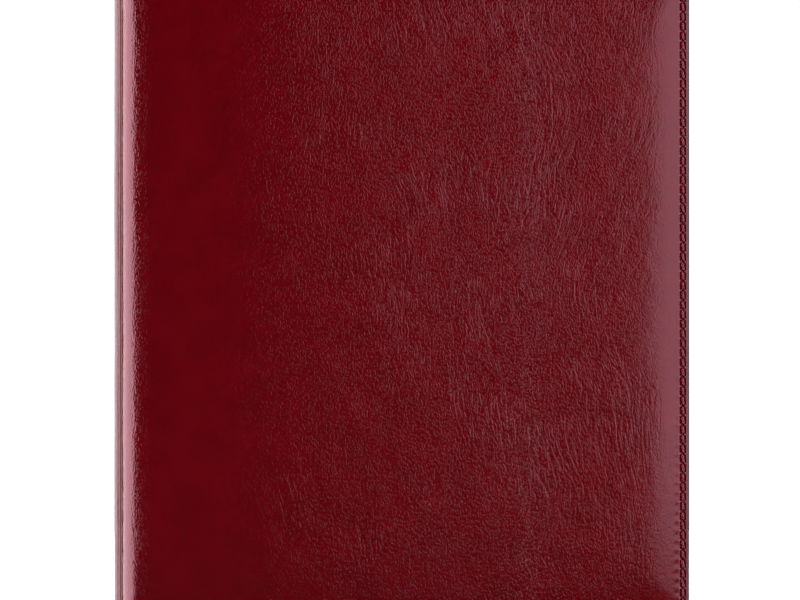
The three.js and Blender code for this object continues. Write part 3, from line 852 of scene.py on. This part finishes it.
class Nodes:
    """Short names for a material's nodes; lengths in them are millimetres."""

    def __init__(self, name, **sockets):
        self.material = bpy.data.materials.new(name)
        self.material.use_nodes = True
        self.tree = self.material.node_tree
        self.shader = self.tree.nodes["Principled BSDF"]
        for socket, value in sockets.items():
            self.shader.inputs[socket.replace("_", " ")].default_value = value

    def add(self, kind, settings=None, **inputs):
        node = self.tree.nodes.new(kind)
        for key, value in (settings or {}).items():
            setattr(node, key, value)
        for key, value in inputs.items():
            self.put(node.inputs[key], value)
        return node

    def put(self, socket, value):
        if isinstance(value, bpy.types.NodeSocket):
            self.tree.links.new(value, socket)
        else:
            socket.default_value = value

    def math(self, operation, *values):
        node = self.add("ShaderNodeMath", {"operation": operation})
        for socket, value in zip(node.inputs, values):
            self.put(socket, value)
        return node.outputs[0]

    def vector(self, operation, *values):
        node = self.add("ShaderNodeVectorMath", {"operation": operation})
        for socket, value in zip(node.inputs, values):
            self.put(socket, value)
        return node.outputs[0]

    def scaled(self, place, x=1.0, y=1.0, z=1.0):
        """place times a factor along each axis, which squeezes the pattern drawn in it."""
        return self.vector("MULTIPLY", place, (x, y, z))

    def weighted(self, a, share_a, b, share_b):
        return self.math("ADD", self.math("MULTIPLY", a, share_a), self.math("MULTIPLY", b, share_b))

    def place(self):
        """Object coordinates in millimetres."""
        return self.vector("MULTIPLY", self.add("ShaderNodeTexCoord").outputs["Object"], (1 / MM,) * 3)

    def attribute(self, name):
        return self.add("ShaderNodeAttribute", {"attribute_name": name}).outputs["Vector"]

    def noise(self, vector, scale, detail=2.0, roughness=0.5):
        return self.add("ShaderNodeTexNoise", Vector=vector, Scale=scale, Detail=detail,
                        Roughness=roughness).outputs[0]

    def warped(self, place, scale, reach):
        """place, pushed about by smooth noise."""
        noise = self.add("ShaderNodeTexNoise", Vector=place, Scale=scale, Detail=1.0).outputs["Color"]
        push = self.vector("MULTIPLY", self.vector("SUBTRACT", noise, (0.5, 0.5, 0.5)), (reach, reach, 0.0))
        return self.vector("ADD", place, push)

    def cells(self, vector, scale):
        """Distance to the nearest edge between random cells."""
        return self.add("ShaderNodeTexVoronoi", {"feature": "DISTANCE_TO_EDGE"}, Vector=vector,
                        Scale=scale).outputs["Distance"]

    def ramp(self, value, low, high, to_low=0.0, to_high=1.0):
        node = self.add("ShaderNodeMapRange", {"interpolation_type": "SMOOTHSTEP"}, Value=value)
        for name, number in (("From Min", low), ("From Max", high), ("To Min", to_low), ("To Max", to_high)):
            node.inputs[name].default_value = number
        return node.outputs[0]

    def mix(self, share, a, b):
        """Colour a to b."""
        node = self.add("ShaderNodeMix", {"data_type": "RGBA"})
        for socket, value in ((node.inputs[0], share), (node.inputs[6], a), (node.inputs[7], b)):
            self.put(socket, value)
        return node.outputs[2]

    def bump(self, height, depth):
        """Bump of a height from 0 to 1, depth millimetres deep."""
        node = self.add("ShaderNodeBump", Height=height, Strength=1.0, Distance=depth * MM)
        self.put(self.shader.inputs["Normal"], node.outputs[0])

    def shade(self, **sockets):
        for socket, value in sockets.items():
            self.put(self.shader.inputs[socket.replace("_", " ")], value)


def leather_material():
    """Glossy burgundy leather: pebbled grain, flowing folds and a puckered seam, with painted shade in the
    grain's valleys, the seam's groove, the needle holes and the crease beside the spine.
    """
    n = Nodes("padded_leather", IOR=1.5, Specular_Tint=GLOSS_TINT)
    skin = n.attribute("skin")
    share = n.add("ShaderNodeSeparateXYZ", Vector=skin).outputs[2]
    plane = n.scaled(skin, z=0.0)
    grain = pebbles(n, n.warped(plane, 0.08, 3.0))
    folds = flowing_folds(n, n.warped(plane, 0.011, 60.0), plane)
    relief = n.weighted(grain, 1 - FOLD_SHARE, folds, FOLD_SHARE)
    seam = n.add("ShaderNodeSeparateXYZ", Vector=n.attribute("seam")).outputs
    groove = n.ramp(n.math("ABSOLUTE", seam[0]), 0.8, 1.5, 1.0, 0.0)
    pucker = n.math("MULTIPLY", n.noise(plane, 1.3), groove)
    hole = needle_holes(n, seam)
    height = n.weighted(relief, share, n.noise(plane, 3.0), 0.02)
    height = n.math("ADD", height, n.math("SUBTRACT", pucker, n.math("MULTIPLY", hole, 2.0)))
    n.bump(height, LEATHER_RELIEF)
    mottle = n.ramp(n.noise(plane, 0.07, 4.0), 0.3, 0.7)
    colour = n.mix(mottle, (*LEATHER_DARK, 1), (*LEATHER_RED, 1))
    # Painted shade: the colour darkens in the valleys of the grain and folds and in the stitches' groove,
    # where the bump is low
    valley_shade = n.math("MULTIPLY", n.math("SUBTRACT", 1.0, relief), share)
    painted_shade = n.math("MAXIMUM", n.math("MULTIPLY", valley_shade, 0.2), n.math("MULTIPLY", groove, 0.6))
    colour = n.mix(painted_shade, colour, (*LEATHER_CREASE_SHADE, 1))
    # painted shade: the needle holes are coloured near black
    colour = n.mix(hole, colour, (*LEATHER_HOLE_SHADE, 1))
    # painted shade: the pressed crease beside the spine is coloured darker
    colour = n.mix(n.math("MULTIPLY", seam[2], 0.7), colour, (*LEATHER_CREASE_SHADE, 1))
    gloss = n.ramp(n.noise(plane, 0.35, 4.0), 0.3, 0.7, 0.12, 0.17)
    n.shade(Base_Color=colour, Roughness=n.math("ADD", gloss, n.math("MULTIPLY", seam[2], 0.6)))
    return n.material


def pebbles(n, place):
    """Uneven flat-topped grain about a millimetre across, longer up the cover than across."""
    return n.ramp(n.noise(n.scaled(place, 1.35, 0.8), 1.0, 1.0), 0.36, 0.54)


def flowing_folds(n, flow, plane):
    """Long thin valleys that run up the cover and bend with the flow: 0 at the bottom, 1 on the flat."""
    wide = n.noise(n.scaled(flow, 0.16, 0.035), 1.0, 1.0)
    narrow = n.noise(n.scaled(flow, 0.42, 0.10), 1.0, 1.0)
    wide = n.ramp(n.math("ABSOLUTE", n.math("SUBTRACT", wide, 0.5)), 0.0, 0.06)
    narrow = n.ramp(n.math("ABSOLUTE", n.math("SUBTRACT", narrow, 0.5)), 0.0, 0.10)
    both = n.weighted(wide, 0.5, narrow, 0.5)
    patch = n.ramp(n.noise(plane, 0.03, 3.0), 0.35, 0.65, 0.25, 1.0)
    return n.math("SUBTRACT", 1.0, n.math("MULTIPLY", patch, n.math("SUBTRACT", 1.0, both)))


def needle_holes(n, seam):
    """1 in the holes that the stitches dive into, from the leather's place across and along its seam."""
    along = n.math("SUBTRACT", n.math("FRACT", n.math("ADD", seam[1], 0.5)), 0.5)
    far = n.math("POWER", n.math("MULTIPLY", along, STITCH_PITCH), 2.0)
    far = n.math("SQRT", n.math("ADD", far, n.math("POWER", seam[0], 2.0)))
    return n.ramp(far, 0.25, 0.5, 1.0, 0.0)


def lining_material():
    """Black leatherette: a fine pebble grain, with painted shade in the valleys between its raised cells."""
    n = Nodes("black_leatherette", Specular_IOR_Level=0.22)
    place = n.place()
    raised = n.ramp(n.cells(place, 1.5), 0.0, 0.25)
    fine = n.noise(place, 4.0, 3.0)
    n.bump(n.math("ADD", raised, n.math("MULTIPLY", fine, 0.3)), 0.05)
    worn = n.ramp(n.noise(place, 0.06, 4.0), 0.35, 0.7)
    colour = n.mix(worn, (0.010, 0.010, 0.011, 1), (0.020, 0.019, 0.019, 1))
    # painted shade: the valleys between the raised cells are coloured darker
    n.shade(Base_Color=n.mix(raised, (0.006, 0.006, 0.006, 1), colour),
            Roughness=n.ramp(n.noise(place, 0.5, 3.0), 0.3, 0.7, 0.58, 0.72))
    return n.material


def foam_material():
    """Open-celled grey foam."""
    n = Nodes("open_cell_foam", Specular_IOR_Level=0.2, Roughness=0.95)
    place = n.place()
    cell = n.ramp(n.cells(place, 1.8), 0.0, 0.2)
    n.bump(cell, 0.2)
    n.shade(Base_Color=n.mix(cell, (0.45, 0.43, 0.38, 1), (0.12, 0.11, 0.10, 1)))
    return n.material


def board_material():
    """Greyboard: pressed paper fibre with darker flecks."""
    n = Nodes("pressed_greyboard", Specular_IOR_Level=0.2)
    place = n.place()
    fibre = n.noise(n.scaled(place, z=0.25), 1.6, 6.0, 0.7)
    fleck = n.ramp(n.noise(place, 2.4), 0.66, 0.72)
    colour = n.mix(fibre, (0.14, 0.13, 0.12, 1), (0.30, 0.28, 0.25, 1))
    n.bump(fibre, 0.06)
    n.shade(Base_Color=n.mix(fleck, colour, (0.06, 0.06, 0.06, 1)),
            Roughness=n.ramp(fibre, 0.2, 0.8, 0.8, 0.95))
    return n.material


def thread_material():
    """Waxed burgundy thread with fine filaments."""
    n = Nodes("waxed_thread", IOR=1.55, Specular_Tint=GLOSS_TINT)
    place = n.place()
    filament = n.noise(n.scaled(place, z=0.35), 5.0, 3.0)
    n.bump(filament, 0.06)
    n.shade(Base_Color=n.mix(filament, (0.060, 0.001, 0.004, 1), (0.15, 0.005, 0.016, 1)),
            Roughness=n.ramp(filament, 0.3, 0.7, 0.18, 0.32))
    return n.material


def nickel_material():
    """Bright nickel plating with faint polishing lines and a little tarnish."""
    n = Nodes("nickel_plate", Metallic=1.0)
    place = n.place()
    lines = n.noise(n.scaled(place, z=0.04), 6.0, 3.0)
    tarnish = n.ramp(n.noise(place, 0.12, 5.0), 0.45, 0.75)
    n.bump(lines, 0.012)
    n.shade(Base_Color=n.mix(tarnish, (0.68, 0.66, 0.62, 1), (0.52, 0.49, 0.44, 1)),
            Roughness=n.ramp(n.math("ADD", lines, tarnish), 0.3, 1.4, 0.16, 0.34))
    return n.material


def film_material():
    """Clear page film, slightly grained and hazy."""
    n = Nodes("clear_page_film", Alpha=0.16, IOR=1.5)
    place = n.place()
    haze = n.noise(place, 0.09, 4.0)
    n.bump(n.noise(place, 0.35), 0.06)
    n.shade(Base_Color=n.mix(haze, (0.40, 0.43, 0.45, 1), (0.52, 0.55, 0.57, 1)),
            Roughness=n.ramp(haze, 0.3, 0.7, 0.10, 0.2))
    return n.material


def weld_material():
    """The same film where it is welded: frosted, with a fine pressed hatch."""
    n = Nodes("frosted_weld", Alpha=0.55, IOR=1.5)
    place = n.place()
    hatch = n.math("SINE", n.math("MULTIPLY", n.add("ShaderNodeSeparateXYZ", Vector=place).outputs[2], 6.0))
    n.bump(hatch, 0.05)
    n.shade(Base_Color=n.mix(n.noise(place, 0.8, 3.0), (0.50, 0.53, 0.55, 1), (0.72, 0.75, 0.77, 1)),
            Roughness=n.ramp(n.noise(place, 1.5), 0.3, 0.7, 0.35, 0.5))
    return n.material


def card_material():
    """Black card: matt, with short paper fibres."""
    n = Nodes("black_card_stock", Specular_IOR_Level=0.25)
    place = n.place()
    fibre = n.noise(place, 2.2, 5.0, 0.65)
    n.bump(fibre, 0.04)
    n.shade(Base_Color=n.mix(fibre, (0.006, 0.006, 0.007, 1), (0.030, 0.029, 0.029, 1)),
            Roughness=n.ramp(fibre, 0.3, 0.7, 0.72, 0.9))
    return n.material


def floor_material():
    n = Nodes("studio_floor", Specular_IOR_Level=0.1, Roughness=0.9)
    shade = n.noise(n.place(), 0.004)
    n.shade(Base_Color=n.mix(shade, (0.90, 0.90, 0.90, 1), (0.93, 0.93, 0.93, 1)))
    return n.material


def finish_cad_nodes(looks):
    """Finishes the pieces that keep the CAD's own shape.

    looks gives the material and the edges' rounding for each word in a node's name, the first match counting.
    """
    for node in frame["nodes"]:
        obj = bpy.data.objects[node]
        if obj.hide_render:
            continue
        look, bevel = next(choice for word, choice in looks.items() if word in node)
        obj.data.materials.clear()
        obj.data.materials.append(look)
        if bevel:
            rounding = obj.modifiers.new("rounded_edges", "BEVEL")
            rounding.width = bevel * MM
            rounding.segments = 2
            rounding.limit_method = "ANGLE"


# Studio, in metres

MIDPOINT = (0.0, 0.0, MIDDLE * MM)
SOFTBOXES = {  # place, aim, width, height, radiance
    "left_softbox": ((-1.2, -0.115, 0.35), (0.0, -0.115, 0.35), 1.43, 1.5, 7.6),
    "right_front_softbox": ((0.68, -0.8, 0.5), (0.28, 0.05, 0.5), 0.94, 1.0, 3.2),
    "right_softbox": ((1.5, 0.1, 0.45), MIDPOINT, 1.8, 1.4, 4.0),
    "back_left_softbox": ((-0.5, 1.8, 0.4), MIDPOINT, 1.5, 1.4, 1.1),
    "back_right_softbox": ((0.9, 1.8, 0.6), MIDPOINT, 1.2, 1.2, 0.7),
}
OVERHEAD = {"strength": 3.3, "angle": 25}
SKY = {"From Min": 0.3, "From Max": 0.8, "To Min": 0.01, "To Max": 0.4}  # brightness by height
WHITE = 1.05  # brightness of the background that the camera sees
FLOOR_RADIUS = 2.2


def area_light(name, place, aim, width, height, radiance):
    light = bpy.data.lights.new(name, "AREA")
    light.shape = "RECTANGLE"
    light.size = width
    light.size_y = height
    light.energy = radiance * math.pi * width * height
    obj = link(name, light)
    obj.location = place
    obj.rotation_euler = (Vector(aim) - Vector(place)).to_track_quat("-Z", "Y").to_euler()
    obj.visible_camera = False


def lights():
    for name, measures in SOFTBOXES.items():
        area_light(name, *measures)
    sun = bpy.data.lights.new("overhead", "SUN")
    sun.energy = OVERHEAD["strength"]
    sun.angle = math.radians(OVERHEAD["angle"])
    link("overhead", sun)


def world():
    """White round the object for the camera, and a soft sky for everything else."""
    sky = bpy.data.worlds.new("studio")
    bpy.context.scene.world = sky
    sky.use_nodes = True
    nodes, links = sky.node_tree.nodes, sky.node_tree.links
    nodes.clear()
    direction = nodes.new("ShaderNodeTexCoord").outputs["Generated"]
    up = nodes.new("ShaderNodeSeparateXYZ")
    links.new(direction, up.inputs[0])
    rise = nodes.new("ShaderNodeMapRange")
    for name, value in SKY.items():
        rise.inputs[name].default_value = value
    links.new(up.outputs[2], rise.inputs[0])
    soft = nodes.new("ShaderNodeBackground")
    links.new(rise.outputs[0], soft.inputs["Strength"])
    white = nodes.new("ShaderNodeBackground")
    white.inputs["Color"].default_value = (1, 1, 1, 1)
    white.inputs["Strength"].default_value = WHITE
    seen = nodes.new("ShaderNodeLightPath").outputs["Is Camera Ray"]
    choice = nodes.new("ShaderNodeMixShader")
    links.new(seen, choice.inputs[0])
    links.new(soft.outputs[0], choice.inputs[1])
    links.new(white.outputs[0], choice.inputs[2])
    links.new(choice.outputs[0], nodes.new("ShaderNodeOutputWorld").inputs[0])


def floor():
    mesh = bmesh.new()
    bmesh.ops.create_circle(mesh, cap_ends=True, segments=96, radius=FLOOR_RADIUS)
    data = bpy.data.meshes.new("floor")
    mesh.to_mesh(data)
    mesh.free()
    obj = link("floor", data, floor_material())
    obj.visible_glossy = False


def camera():
    """Level with the front cover's middle, near enough that its head and tail leave the picture."""
    data = bpy.data.cameras.new("camera")
    data.sensor_width = SENSOR
    data.lens = SENSOR * (CAMERA_DISTANCE - HALF_DEPTH * MM) / PICTURE_WIDTH
    obj = link("camera", data)
    obj.location = (CAMERA_X, -CAMERA_DISTANCE, MIDDLE * MM)
    obj.rotation_euler = (math.radians(90), 0, 0)
    bpy.context.scene.camera = obj
    bpy.context.scene.view_settings.view_transform = "Standard"


def main():
    leather, lining, thread = leather_material(), lining_material(), thread_material()
    foam, film, frosted, nickel = foam_material(), film_material(), weld_material(), nickel_material()
    for side_name in SIDES:
        cover_leather(side_name, leather)
        cover_foam(side_name, foam)
        cover_lining(side_name, lining)
        hinge_strip(side_name, lining)
        for number in RINGS:
            ring_half(side_name, number, nickel)
    spine_leather(leather)
    spine_foam(foam)
    spine_lining(lining)
    all_stitching(thread)
    for number in LEAVES:
        coin_page(number, film, frosted)
    for end in ("tail", "head"):
        rivet(end, nickel)
    finish_cad_nodes({"board": (board_material(), 0.0), "interleaf": (card_material(), 0.0),
                      "": (nickel, PRESSED_EDGE)})
    floor()
    lights()
    world()
    camera()


main()
